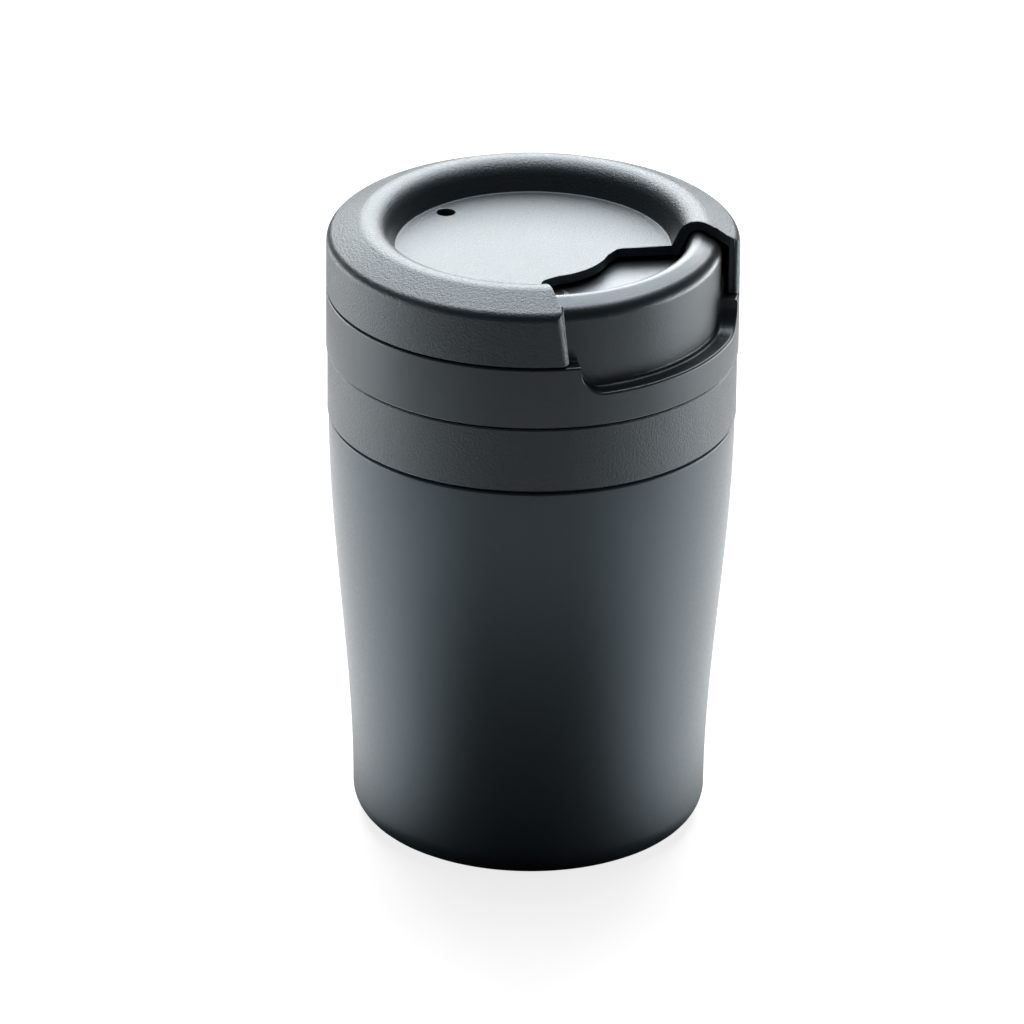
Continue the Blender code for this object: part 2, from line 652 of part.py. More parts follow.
def make_pads(cap, material):
    """The soft pads that close the drinking slot and the air hole, set in pockets under the cap."""
    slot_in, slot_out = slot_radii(rim_inner_wall())
    pad_angle = SLOT_HALF_ANGLE + math.degrees(PAD_MARGIN / slot_out)
    gap_angle = math.degrees(SEAT_GAP / slot_in)
    inner = slot_in - PAD_MARGIN
    outer = slot_out + PAD_MARGIN
    middle = SLOT_DIRECTION + CAP_TRAVEL
    pocket_top = PAD_TOP + SEAT_GAP
    pocket = sector("drink_pocket", inner - SEAT_GAP, outer + SEAT_GAP, middle, pad_angle + gap_angle,
                    PAD_BOTTOM, pocket_top)
    combine(cap, pocket, 'DIFFERENCE')
    drink_seal = sector("drink_seal", inner, outer, middle, pad_angle, PAD_BOTTOM, PAD_TOP, material)
    place = VENT_PLACE * direction(VENT_DIRECTION + CAP_TRAVEL)
    vent_pocket = disc("vent_pocket", place, VENT_PAD_RADIUS + SEAT_GAP, PAD_BOTTOM, pocket_top)
    combine(cap, vent_pocket, 'DIFFERENCE')
    vent_seal = disc("vent_seal", place, VENT_PAD_RADIUS, PAD_BOTTOM, PAD_TOP, material)
    return [drink_seal, vent_seal]


def make_wave_spring(material):
    """A waved spring washer between the lid's floor and the pivot washer."""
    bm = bmesh.new()
    inner = HUB_BORE + RUN_GAP
    outer = inner + SPRING_WIDTH
    middle = SPRING_TOP - SPRING_HEIGHT / 2.0
    swing = (SPRING_HEIGHT - SPRING_STRIP) / 2.0
    half = SPRING_STRIP / 2.0
    rows = []
    for step in range(SEGMENTS):
        angle = 360.0 * step / SEGMENTS
        flat = direction(angle)
        height = middle + swing * math.cos(math.radians(SPRING_WAVES * angle))
        corners = [(inner, height - half), (outer, height - half)]
        corners += [(outer, height + half), (inner, height + half)]
        rows.append([bm.verts.new((*(radius * flat), level)) for radius, level in corners])
    for index, row in enumerate(rows):
        ahead = rows[(index + 1) % SEGMENTS]
        for side in range(len(row)):
            after = (side + 1) % len(row)
            bm.faces.new((row[side], row[after], ahead[after], ahead[side]))
    return link_object("wave_spring", bm, material)


def make_pivot_parts(rubber, steel):
    """What holds the cap down and lets it turn: ring seal, spring, washer and screw."""
    middle = (RIM_FLOOR_TOP + RIM_FLOOR_BOTTOM) / 2.0
    oring_place = (HUB_BORE - SEAT_GAP - ORING_RADIUS, middle)
    oring = turned("pivot_oring", arc(oring_place, ORING_RADIUS, 0.0, 360.0, ORING_STEPS)[:-1], rubber,
                   segments=SMALL_SEGMENTS)
    washer = ring("pivot_washer", SCREW_BORE, WASHER_RADIUS, WASHER_BOTTOM, WASHER_TOP, steel,
                  segments=SMALL_SEGMENTS)
    head_bottom = SCREW_HEAD_TOP - SCREW_HEAD_HEIGHT
    shank_top = HUB_BOTTOM + SCREW_REACH - SEAT_GAP
    profile = [
        (0.0, head_bottom + SCREW_SOCKET_DEPTH),
        (SCREW_SOCKET_RADIUS, head_bottom + SCREW_SOCKET_DEPTH),
        (SCREW_SOCKET_RADIUS, head_bottom),
        (SCREW_HEAD_RADIUS, head_bottom),
        (SCREW_HEAD_RADIUS, SCREW_HEAD_TOP),
        (SCREW_RADIUS, SCREW_HEAD_TOP),
        (SCREW_RADIUS, shank_top),
        (0.0, shank_top),
    ]
    screw = turned("pivot_screw", profile, steel, closed=False, segments=SMALL_SEGMENTS)
    return [oring, make_wave_spring(steel), washer, screw]


def build():
    """Make every piece, then hang the moving ones on their axes."""
    for leftover in list(bpy.data.objects):
        bpy.data.objects.remove(leftover)

    slate_paint = make_material("slate_paint", (0.045, 0.05, 0.055), 0.35)
    grained_plastic = make_material("grained_plastic", (0.022, 0.024, 0.026), 0.6)
    satin_plastic = make_material("satin_plastic", (0.02, 0.021, 0.023), 0.42)
    silicone = make_material("silicone", (0.03, 0.03, 0.032), 0.7)
    steel = make_material("brushed_steel", (0.55, 0.55, 0.54), 0.3, 1.0)
    sealing_glass = make_material("sealing_glass", (0.12, 0.13, 0.12), 0.2)
    getter_alloy = make_material("getter_alloy", (0.22, 0.21, 0.2), 0.7, 0.8)

    make_outer_shell(slate_paint)
    make_base(steel, sealing_glass, getter_alloy)
    make_inner_liner(steel)
    seal_outer = COLLAR_BORE - SEAT_GAP
    seal_top = NECK_SEAL_BOTTOM + NECK_SEAL_HEIGHT
    ring("neck_seal", seal_outer - NECK_SEAL_WIDTH, seal_outer, NECK_SEAL_BOTTOM, seal_top, silicone)
    make_collar(grained_plastic)

    gasket = ring("lid_gasket", GASKET_INNER, GASKET_OUTER, RING_BOTTOM, GASKET_TOP, silicone)
    lid_body = make_lid_body(satin_plastic)
    lid_plug = make_lid_plug(satin_plastic)
    cap = make_turn_cap(grained_plastic)
    cap_parts = [cap] + make_pads(cap, silicone) + make_pivot_parts(silicone, steel)

    lift_axis = make_pivot("lid_lift_axis", RING_BOTTOM)
    lid_axis = make_pivot("lid_turn_axis", RING_BOTTOM, lift_axis)
    cap_axis = make_pivot("cap_turn_axis", CAP_BOTTOM, lid_axis)
    on_joint(gasket, lift_axis)
    for piece in (lid_body, lid_plug):
        on_joint(piece, lid_axis)
    for piece in cap_parts:
        on_joint(piece, cap_axis)


build()
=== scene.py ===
# Finished look of the insulated tumbler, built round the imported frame.
# Sizes are in metres in the frame's own axes. The pieces that show are made again here as fine meshes.
import math

import bmesh
import bpy
from mathutils import Matrix, Vector


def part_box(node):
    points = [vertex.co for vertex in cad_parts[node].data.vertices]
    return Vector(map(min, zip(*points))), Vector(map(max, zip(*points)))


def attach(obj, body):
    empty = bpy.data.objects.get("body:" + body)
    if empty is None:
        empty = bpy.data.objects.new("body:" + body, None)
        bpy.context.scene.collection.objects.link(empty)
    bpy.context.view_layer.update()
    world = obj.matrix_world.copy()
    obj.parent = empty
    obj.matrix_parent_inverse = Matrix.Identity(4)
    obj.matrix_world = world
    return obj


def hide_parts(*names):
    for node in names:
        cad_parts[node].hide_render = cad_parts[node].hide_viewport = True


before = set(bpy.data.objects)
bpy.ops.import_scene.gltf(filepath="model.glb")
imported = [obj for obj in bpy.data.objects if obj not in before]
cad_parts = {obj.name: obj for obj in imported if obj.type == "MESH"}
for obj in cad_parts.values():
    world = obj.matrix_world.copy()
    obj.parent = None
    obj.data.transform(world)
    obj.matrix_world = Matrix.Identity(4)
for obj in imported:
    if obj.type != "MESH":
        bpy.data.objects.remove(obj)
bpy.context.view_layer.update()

# Sizes read from the frame, with the pieces kept just inside it
FIT = 0.000002
LID_RADIUS = -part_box("turn_cap")[0].x - FIT
SHELL_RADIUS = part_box("outer_shell")[1].x
NECK_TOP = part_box("outer_shell")[1].z
COLLAR_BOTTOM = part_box("collar")[0].z
COLLAR_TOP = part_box("collar")[1].z
COLLAR_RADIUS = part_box("collar")[1].x
RING_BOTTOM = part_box("lid_body")[0].z
LINER_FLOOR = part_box("inner_liner")[0].z
LINER_FLANGE_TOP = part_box("inner_liner")[1].z
LINER_FLANGE_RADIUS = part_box("inner_liner")[1].x
PLUG_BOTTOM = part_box("lid_plug")[0].z
PASSAGE_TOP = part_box("lid_plug")[1].z
FLANGE_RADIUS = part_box("lid_plug")[1].x
HUB_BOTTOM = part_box("wave_spring")[0].z
GASKET_LOW, GASKET_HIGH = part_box("lid_gasket")
COVER_LOW, COVER_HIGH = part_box("base_cover")

# Cup walls
BASE_RADIUS = 0.0337
BASE_FILLET = 0.0055
FOOT_WIDTH = 0.0020
SHELL_HEIGHT = 0.08335
SHELL_WALL = 0.0010
SHOULDER_ROUND = 0.0006
NECK_STEP = 0.0025
LINER_GAP = 0.0036
LINER_WALL = 0.0007
LINER_FLANGE = 0.0008
FOOT_OUTER = BASE_RADIUS - BASE_FILLET
FOOT_INNER = FOOT_OUTER - FOOT_WIDTH
NECK_RADIUS = SHELL_RADIUS - NECK_STEP

# Collar and thread
SEAT_GAP = 0.0003
COLLAR_CHAMFER = 0.0003
COLLAR_LEDGE = 0.08805
COLLAR_BORE = NECK_RADIUS + SEAT_GAP
COLLAR_LEDGE_WIDTH = 0.0030
THREAD_BORE = COLLAR_BORE - COLLAR_LEDGE_WIDTH
THREAD_DEPTH = 0.0013
THREAD_GAP = 0.0004
THREAD_ROOT_WIDTH = 0.0017
THREAD_CREST_WIDTH = 0.0011
THREAD_LEAD = 0.0120
THREAD_STARTS = 3
THREAD_SPAN = 90.0
THREAD_EMBED = 0.0004
THREAD_FIRST = 2.3
PLUG_RADIUS = THREAD_BORE - THREAD_DEPTH - THREAD_GAP
PLUG_WALL = 0.0020
PLUG_INNER = PLUG_RADIUS - PLUG_WALL
PLUG_FLOOR = 0.0020
PLUG_FLOOR_TOP = PLUG_BOTTOM + PLUG_FLOOR
PLUG_EDGE_ROUND = 0.0015
PLUG_FLANGE_THICKNESS = 0.0020
PLUG_FLANGE_BOTTOM = GASKET_HIGH.z + SEAT_GAP
PLUG_FLANGE_TOP = PLUG_FLANGE_BOTTOM + PLUG_FLANGE_THICKNESS
PASSAGE_WALL = 0.0012

# Lid body
RING_HEIGHT = 0.0121
RING_TOP = RING_BOTTOM + RING_HEIGHT
RING_EDGE = 0.0003
FLANGE_SEAT = FLANGE_RADIUS + SEAT_GAP
LID_LEDGE = PLUG_FLANGE_TOP + SEAT_GAP
DRINK_STEP = 0.0034
DRINK_WALL = 0.0022
DRINK_RADIUS = LID_RADIUS - DRINK_STEP
LID_CHAMBER = DRINK_RADIUS - DRINK_WALL
RIM_FLOOR_BOTTOM = PASSAGE_TOP + SEAT_GAP
RIM_FLOOR = 0.0020
RIM_FLOOR_TOP = RIM_FLOOR_BOTTOM + RIM_FLOOR
RIM_CORNER_ROUND = 0.0028
RIM_CREST_ROUND = 0.0019
RIM_FOOT_ROUND = 0.0008
DIP_FOOT_ROUND = 0.0009
DIP_LIP_ROUND = 0.0005
RIM_SLOPE_GAP = 0.0003
DIP_DEPTH = 0.0057
DIP_HALF_ANGLE = 33.8
DIP_END_RADIUS = 0.0052
DIP_ZONE = (24.0, 34.4)
DIP_END_STEPS = 70
SLOT_DIRECTION = -60.0
SLOT_WIDTH = 0.0062
SLOT_HALF_ANGLE = 9.5
SLOT_MARGIN = 0.00265
STOP_RADIUS = 0.0127
STOP_WIDTH = 0.0030
STOP_DEPTH = 0.0010
STOP_REACH = 52.4
STOP_HALF_ANGLE = 6.0
CAP_TRAVEL = 90.0

# Cap
CAP_BOTTOM = RING_TOP + SEAT_GAP
CAP_SKIRT_HEIGHT = 0.01025
CAP_SLOPE_RISE = 0.00445
CAP_SLOPE_RUN = 0.01002
CAP_CORNER = CAP_BOTTOM + CAP_SKIRT_HEIGHT
CAP_APEX = CAP_CORNER + CAP_SLOPE_RISE
CAP_SKIRT_WALL = 0.0022
CAP_WALL = 0.0019
RECESS_DEPTH = 0.00705
RECESS_RUN = 0.00288
APEX_RADIUS = LID_RADIUS - CAP_SLOPE_RUN
RECESS_FLOOR = CAP_APEX - RECESS_DEPTH
RECESS_RADIUS = APEX_RADIUS - RECESS_RUN
CAP_FLOOR_BOTTOM = RECESS_FLOOR - CAP_WALL
CAP_CORNER_ROUND = 0.0020
CAP_CREST_ROUND = 0.00425
RECESS_ROUND = 0.0004
HUB_RADIUS = 0.0050
HUB_BORE = HUB_RADIUS + SEAT_GAP
CUT_DIRECTION = -42.7
CUT_INNER_RADIUS = 0.0145
CUT_INNER_HALF_ANGLE = 28.0
CUT_CORNER_RADIUS = 0.0160
CUT_CORNER_HALF_ANGLE = 41.0
CUT_WALL_HALF_ANGLE = 44.6
CUT_OUTER_HALF_ANGLE = 39.2
CUT_ROUND = 0.0022
CUT_LIP_ROUND = 0.0020
CUT_FLARE = 14.0
CUT_LEAN = 4.0
VENT_DIRECTION = 136.0
VENT_INSET = 0.0030
VENT_PLACE = RECESS_RADIUS - VENT_INSET
VENT_RADIUS = 0.00175

# Base cover: how far out its step lies, as a share of its radius
COVER_STEP = 0.72

# Fineness
SEGMENTS = 180
SMALL_SEGMENTS = 48
WALL_STEPS = 40
ARC_STEP = 9.0
CUT_INNER_STEPS = 12
ROUND_STEPS_LEAST = 3
SECTOR_STEPS_LEAST = 4
SHOULDER_STEPS = 4
BEVEL_STEPS = 2
SHARP_ANGLE = 32.0
WELD = 2e-6
CUT_EDGE = 0.00022

# The photograph's camera, in the frame's axes
IMAGE_SIZE = 1024
SENSOR = 36.0
FOCAL_PIXELS = 10457.0
CAMERA_DISTANCE = 1.994
CAMERA_ELEVATION = 25.1
CAMERA_PIVOT = 0.055
CAMERA_AIM = Vector((-0.003571, 0.0, 0.061667))
CAMERA_ROLL = 0.0085

# Floor. The camera sees a white floor, through its own glow.
# Mirrored and bounced light see it darker close in front of the object than at its sides and behind: painted
# shade in front and painted light at the sides and behind, in its colour and its glow.
FLOOR_SIZE = 12.0
FLOOR_WHITE = (0.44, 0.44, 0.44, 1.0)
# Floor colours for bounced light: painted shade close in front of the object, painted light at its sides and
# behind
FLOOR_PAINTED_SHADE = (0.07, 0.07, 0.07, 1.0)
FLOOR_PAINTED_LIGHT = (0.90, 0.90, 0.90, 1.0)
FLOOR_ROUGHNESS = 0.9
FLOOR_GLOW = 0.80
FLOOR_GLOW_SPAN = (0.15, 0.60)
# Strength of the floor's glow seen in reflections: a painted reflection, shaped by the painted light mask
PAINTED_REFLECTION_GLOW = 0.40
ASIDE_SPAN = (0.05, 0.14)
BESIDE_SPAN = (0.030, 0.055)
BEHIND_SPAN = (-0.07, -0.02)
AHEAD_SPAN = (0.09, 0.19)
AHEAD_LEVEL = 0.75
FADE_SPAN = (0.18, 0.25)
FADE_LEVEL = 0.22

# Light. Each lamp: name, place, aim, width, height, brightness
WORLD_LEVEL = 0.04
LAMPS = [
    ("back_panel", (0.0, 0.70, 0.55), (0.0, 0.0, 0.12), 0.80, 0.60, 6.1),
    ("top_panel", (0.0, 0.27, 0.82), (0.0, 0.0, 0.12), 0.80, 0.50, 4.1),
    ("left_panel", (-0.38, 0.13, 0.038), (0.0, 0.0, 0.038), 0.50, 0.072, 6.2),
    ("right_panel", (0.38, 0.13, 0.038), (0.0, 0.0, 0.038), 0.50, 0.072, 7.4),
]

# Materials: colours, then noise scales, then the middle part of a noise that is spread over its full range
WHITE = (1.0, 1.0, 1.0, 1.0)
PLASTIC_DARK = (0.0140, 0.0175, 0.0200, 1.0)
GRAINED_LIGHT = (0.0180, 0.0215, 0.0240, 1.0)
GRAINED_WORN = (0.05, 0.05, 0.052, 1.0)
SATIN_LIGHT = (0.0165, 0.0200, 0.0225, 1.0)
SATIN_WORN = (0.045, 0.045, 0.047, 1.0)
# Blue tint of the plastics' reflections: painted colour of the bluish studio light
PLASTIC_PAINTED_LIGHT_TINT = (0.72, 0.89, 1.0, 1.0)
PAINT_DARK = (0.018, 0.0270, 0.034, 1.0)
PAINT_LIGHT = (0.022, 0.0315, 0.039, 1.0)
PAINT_FLAKE = (0.045, 0.052, 0.060, 1.0)
# Blue tint of the paint's reflections: painted colour of the bluish studio light
PAINT_PAINTED_LIGHT_TINT = (0.62, 0.84, 1.0, 1.0)
STEEL_DARK = (0.50, 0.50, 0.49, 1.0)
STEEL_LIGHT = (0.60, 0.60, 0.585, 1.0)
RUBBER_DARK = (0.018, 0.018, 0.019, 1.0)
RUBBER_LIGHT = (0.034, 0.034, 0.036, 1.0)
GLASS_DARK = (0.10, 0.11, 0.10, 1.0)
GLASS_LIGHT = (0.15, 0.16, 0.15, 1.0)
GETTER_DARK = (0.16, 0.155, 0.15, 1.0)
GETTER_LIGHT = (0.27, 0.26, 0.25, 1.0)
PLASTIC_CLOUD = 60.0
PAINT_CLOUD = 35.0
PAINT_PEEL = 1500.0
PAINT_FLAKES = 9000.0
STEEL_CLOUD = 50.0
STEEL_RINGS = (220.0, 220.0, 16000.0)
RUBBER_DUST = 700.0
MINERAL_SPECKLE = 2500.0
NOISE_SPAN = (0.3, 0.7)
FLAKE_SPAN = (0.45, 0.75)
DUST_SPAN = (0.4, 0.7)
SPECKLE_SPAN = (0.35, 0.65)
EDGE_SPAN = (0.53, 0.62)


def direction(angle):
    """The unit vector at an angle round the axis."""
    return Vector((math.cos(math.radians(angle)), math.sin(math.radians(angle))))


def arc(centre, radius, start, end, steps):
    """Points along a circular arc, both ends included."""
    points = []
    for step in range(steps + 1):
        angle = start + (end - start) * step / steps
        points.append(Vector(centre) + radius * direction(angle))
    return points


def rounded(corners, closed=True):
    """An outline through (across, up, round) corners, each with its own rounding radius."""
    points = []
    count = len(corners)
    for index, (across, up, radius) in enumerate(corners):
        corner = Vector((across, up))
        is_end = not closed and index in (0, count - 1)
        if is_end or radius == 0.0:
            points.append(corner)
            continue
        back = (Vector(corners[index - 1][:2]) - corner).normalized()
        ahead = (Vector(corners[(index + 1) % count][:2]) - corner).normalized()
        half = back.angle(ahead) / 2.0
        centre = corner + (back + ahead).normalized() * radius / math.sin(half)
        start = back * radius / math.tan(half) + corner - centre
        turn = start.angle_signed(ahead * radius / math.tan(half) + corner - centre)
        steps = max(ROUND_STEPS_LEAST, round(math.degrees(abs(turn)) / ARC_STEP))
        start_angle = math.degrees(math.atan2(start.y, start.x))
        points += arc(centre, radius, start_angle, start_angle - math.degrees(turn), steps)
    return points


def shift_line(start, end, distance):
    """A line moved sideways, to its left, by a distance."""
    along = (Vector(end) - Vector(start)).normalized()
    aside = Vector((-along.y, along.x)) * distance
    return Vector(start) + aside, Vector(end) + aside


def point_at_radius(line, radius):
    """The point of a line in the profile plane at a radius."""
    start, end = line
    return start + (end - start) * (radius - start.x) / (end.x - start.x)


def point_at_height(line, height):
    """The point of a line in the profile plane at a height."""
    start, end = line
    return start + (end - start) * (height - start.y) / (end.y - start.y)


def meeting_point(first, second):
    """Where two lines in the profile plane cross."""
    step = first[1] - first[0]
    other = second[1] - second[0]
    share = (second[0] - first[0]).cross(other) / step.cross(other)
    return first[0] + step * share


def link_object(name, bm):
    """Turn a bmesh into a named object."""
    bmesh.ops.remove_doubles(bm, verts=bm.verts, dist=WELD)
    bmesh.ops.recalc_face_normals(bm, faces=bm.faces)
    mesh = bpy.data.meshes.new(name)
    bm.to_mesh(mesh)
    bm.free()
    piece = bpy.data.objects.new(name, mesh)
    bpy.context.scene.collection.objects.link(piece)
    return piece


def turned(name, profile, closed=True, segments=SEGMENTS):
    """Spin a profile of (radius, height) points round the axis."""
    bm = bmesh.new()
    verts = [bm.verts.new((radius, 0.0, height)) for radius, height in profile]
    edges = [bm.edges.new(pair) for pair in zip(verts, verts[1:])]
    if closed:
        edges.append(bm.edges.new((verts[-1], verts[0])))
    bmesh.ops.spin(bm, geom=verts + edges, cent=(0.0, 0.0, 0.0), axis=(0.0, 0.0, 1.0),
                   angle=math.tau, steps=segments, use_merge=True)
    return link_object(name, bm)


def prism(name, plan, bottom, top):
    """Extrude a plan outline between two heights."""
    bm = bmesh.new()
    face = bm.faces.new([bm.verts.new((x, y, bottom)) for x, y in plan])
    raised = bmesh.ops.extrude_face_region(bm, geom=[face])["geom"]
    verts = [item for item in raised if isinstance(item, bmesh.types.BMVert)]
    bmesh.ops.translate(bm, verts=verts, vec=(0.0, 0.0, top - bottom))
    return link_object(name, bm)


def sector(name, inner, outer, middle, half_angle, bottom, top):
    """A block between two radii and two directions."""
    steps = max(SECTOR_STEPS_LEAST, round(2.0 * half_angle * SEGMENTS / 360.0))
    plan = arc((0.0, 0.0), outer, middle - half_angle, middle + half_angle, steps)
    plan += arc((0.0, 0.0), inner, middle + half_angle, middle - half_angle, steps)
    return prism(name, plan, bottom, top)


def disc(name, place, radius, bottom, top):
    """An upright round bar standing at a place in plan."""
    plan = arc(place, radius, 0.0, 360.0, SMALL_SEGMENTS)[:-1]
    return prism(name, plan, bottom, top)


def swept(name, groups, around=False):
    """Blocks swept through rows of section points, closed at both ends or round onto themselves."""
    bm = bmesh.new()
    for rows in groups:
        made = [[bm.verts.new(point) for point in row] for row in rows]
        count = len(made[0])
        ahead = made[1:] + made[:1] if around else made[1:]
        for low, high in zip(made, ahead):
            for side in range(count):
                after = (side + 1) % count
                bm.faces.new((low[side], low[after], high[after], high[side]))
        if not around:
            bm.faces.new(made[0])
            bm.faces.new(made[-1])
    return link_object(name, bm)


def combine(piece, guide, operation):
    """Cut a guide shape out of a piece, or join it on, and remember which faces it made."""
    for mesh in (piece.data, guide.data):
        while len(mesh.materials) < 2:
            mesh.materials.append(None)
    guide.data.polygons.foreach_set("material_index", [1] * len(guide.data.polygons))
    modifier = piece.modifiers.new(guide.name, 'BOOLEAN')
    modifier.operation = operation
    modifier.object = guide
    depsgraph = bpy.context.evaluated_depsgraph_get()
    joined = bpy.data.meshes.new_from_object(piece.evaluated_get(depsgraph))
    piece.modifiers.clear()
    piece.data = joined
    bpy.data.objects.remove(guide)


def soften_cuts(piece, width):
    """Round the edges that the cuts left, then drop the mark that found them."""
    bm = bmesh.new()
    bm.from_mesh(piece.data)
    bmesh.ops.remove_doubles(bm, verts=bm.verts, dist=WELD)
    bmesh.ops.dissolve_degenerate(bm, edges=bm.edges, dist=WELD)
    edges = [edge for edge in bm.edges if len(edge.link_faces) == 2
             and edge.link_faces[0].material_index != edge.link_faces[1].material_index]
    if width:
        bmesh.ops.bevel(bm, geom=edges, offset=width, offset_type='OFFSET', segments=BEVEL_STEPS, profile=0.5,
                        affect='EDGES', clamp_overlap=False)
    for face in bm.faces:
        face.material_index = 0
    bm.to_mesh(piece.data)
    bm.free()
    piece.data.materials.clear()


def finish_piece(piece, material, body, slot, *nodes):
    """Shade a piece, give it its material, and let it stand for its CAD nodes on their body."""
    piece.data.materials.clear()
    piece.data.materials.append(material)
    piece.data.shade_smooth()
    piece.data.set_sharp_from_angle(angle=math.radians(SHARP_ANGLE))
    weights = piece.modifiers.new("even_normals", 'WEIGHTED_NORMAL')
    weights.keep_sharp = True
    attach(piece, body)
    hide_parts(*nodes)


def shell_radius(height):
    """Outside radius of the cup, an ogee from the base up to the shoulder."""
    share = (height - BASE_FILLET) / (SHELL_HEIGHT - BASE_FILLET)
    share = min(max(share, 0.0), 1.0)
    return BASE_RADIUS + (SHELL_RADIUS - BASE_RADIUS) * share * share * (3.0 - 2.0 * share)


def cup_wall(inset, bottom, top):
    """Points up the cup's ogee, moved in from its outside."""
    points = []
    for step in range(WALL_STEPS + 1):
        height = bottom + (top - bottom) * step / WALL_STEPS
        points.append(Vector((shell_radius(height) - inset, height)))
    return points


def make_shell():
    """The painted wall, necked in at the top and turned under at the base."""
    corner = (FOOT_OUTER, BASE_FILLET)
    fillet_steps = round(90.0 / ARC_STEP)
    shoulder = (SHELL_RADIUS - SHOULDER_ROUND, SHELL_HEIGHT - SHOULDER_ROUND)
    profile = [Vector((FOOT_INNER, SHELL_WALL)), Vector((FOOT_INNER, 0.0))]
    profile += arc(corner, BASE_FILLET, -90.0, 0.0, fillet_steps)
    profile += cup_wall(0.0, BASE_FILLET, SHELL_HEIGHT - SHOULDER_ROUND)[1:-1]
    profile += arc(shoulder, SHOULDER_ROUND, 0.0, 90.0, SHOULDER_STEPS)
    profile += [Vector((NECK_RADIUS, SHELL_HEIGHT)), Vector((NECK_RADIUS, NECK_TOP))]
    profile += [Vector((NECK_RADIUS - SHELL_WALL, NECK_TOP))]
    profile += [Vector((NECK_RADIUS - SHELL_WALL, SHELL_HEIGHT - SHELL_WALL))]
    profile += cup_wall(SHELL_WALL, BASE_FILLET, SHELL_HEIGHT - SHELL_WALL)[:0:-1]
    profile += arc(corner, BASE_FILLET - SHELL_WALL, 0.0, -90.0, fillet_steps)
    return turned("shell_wall", profile)


def make_liner():
    """The steel cup that holds the drink, with a rolled flange at its mouth."""
    inset = SHELL_WALL + LINER_GAP
    start = LINER_FLOOR + BASE_FILLET
    corner = (shell_radius(start) - inset - BASE_FILLET, start)
    fillet_steps = round(90.0 / ARC_STEP)
    flange_low = LINER_FLANGE_TOP - LINER_FLANGE
    profile = [Vector((0.0, LINER_FLOOR))]
    profile += arc(corner, BASE_FILLET, -90.0, 0.0, fillet_steps)
    profile += cup_wall(inset, start, flange_low)[1:]
    profile += [Vector((LINER_FLANGE_RADIUS, flange_low)), Vector((LINER_FLANGE_RADIUS, LINER_FLANGE_TOP))]
    profile += cup_wall(inset + LINER_WALL, start, LINER_FLANGE_TOP)[:0:-1]
    profile += arc(corner, BASE_FILLET - LINER_WALL, 0.0, -90.0, fillet_steps)
    profile.append(Vector((0.0, LINER_FLOOR + LINER_WALL)))
    return turned("liner_cup", profile, closed=False)


def thread_ridges(name, root, crest, first_angle):
    """The starts of a screw thread, each a helical ridge that rises counter-clockwise."""
    steps = round(THREAD_SPAN * SEGMENTS / 360.0)
    middle = (COLLAR_LEDGE + COLLAR_TOP) / 2.0
    section = [(root, -THREAD_ROOT_WIDTH), (crest, -THREAD_CREST_WIDTH),
               (crest, THREAD_CREST_WIDTH), (root, THREAD_ROOT_WIDTH)]
    groups = []
    for start in range(THREAD_STARTS):
        rows = []
        for step in range(steps + 1):
            turn = THREAD_SPAN * (step / steps - 0.5)
            flat = direction(first_angle + 360.0 * start / THREAD_STARTS + turn)
            height = middle + THREAD_LEAD * turn / 360.0
            rows.append([(*(radius * flat), height + width / 2.0) for radius, width in section])
        groups.append(rows)
    return swept(name, groups)


def make_collar():
    """The moulded ring round the neck, chamfered at both seams and threaded inside."""
    profile = rounded([
        (COLLAR_RADIUS - COLLAR_CHAMFER / 2.0, COLLAR_TOP, 0.0),
        (COLLAR_RADIUS, COLLAR_TOP - COLLAR_CHAMFER, COLLAR_CHAMFER),
        (COLLAR_RADIUS, COLLAR_BOTTOM + COLLAR_CHAMFER, COLLAR_CHAMFER),
        (COLLAR_RADIUS - COLLAR_CHAMFER, COLLAR_BOTTOM, 0.0),
        (COLLAR_BORE, COLLAR_BOTTOM, 0.0),
        (COLLAR_BORE, COLLAR_LEDGE, 0.0),
        (THREAD_BORE, COLLAR_LEDGE, 0.0),
        (THREAD_BORE, COLLAR_TOP, COLLAR_CHAMFER / 2.0),
    ])
    collar = turned("collar_ring", profile)
    crest = THREAD_BORE - THREAD_DEPTH
    ridges = thread_ridges("collar_ridges", THREAD_BORE + THREAD_EMBED, crest, THREAD_FIRST)
    combine(collar, ridges, 'UNION')
    soften_cuts(collar, CUT_EDGE)
    return collar


def rim_lines(offset):
    """The cap's outer slope and recess wall, both moved inwards by an offset."""
    corner = (LID_RADIUS, CAP_CORNER)
    apex = (APEX_RADIUS, CAP_APEX)
    floor_edge = (RECESS_RADIUS, RECESS_FLOOR)
    return shift_line(corner, apex, offset), shift_line(apex, floor_edge, offset)


def rim_inner_wall():
    """Radius of the upright wall behind the rim, clear of the cap's recess."""
    return point_at_height(rim_lines(CAP_WALL)[1], RECESS_FLOOR).x + SEAT_GAP


def slot_radii():
    """The two radii of the drinking slot, set in from the wall behind the rim."""
    outer = rim_inner_wall() - SLOT_MARGIN
    return outer - SLOT_WIDTH, outer


def dip_rise(turn):
    """How far below the ring's top the lip lies, at an angle from the middle of the dip."""
    to_end = math.radians(DIP_HALF_ANGLE - abs(turn)) * LID_RADIUS
    if to_end <= 0.0:
        return 0.0
    short = max(DIP_END_RADIUS - to_end, 0.0)
    fall = math.sqrt(DIP_END_RADIUS ** 2 - short ** 2) - DIP_END_RADIUS + DIP_DEPTH
    return max(fall, 0.0)


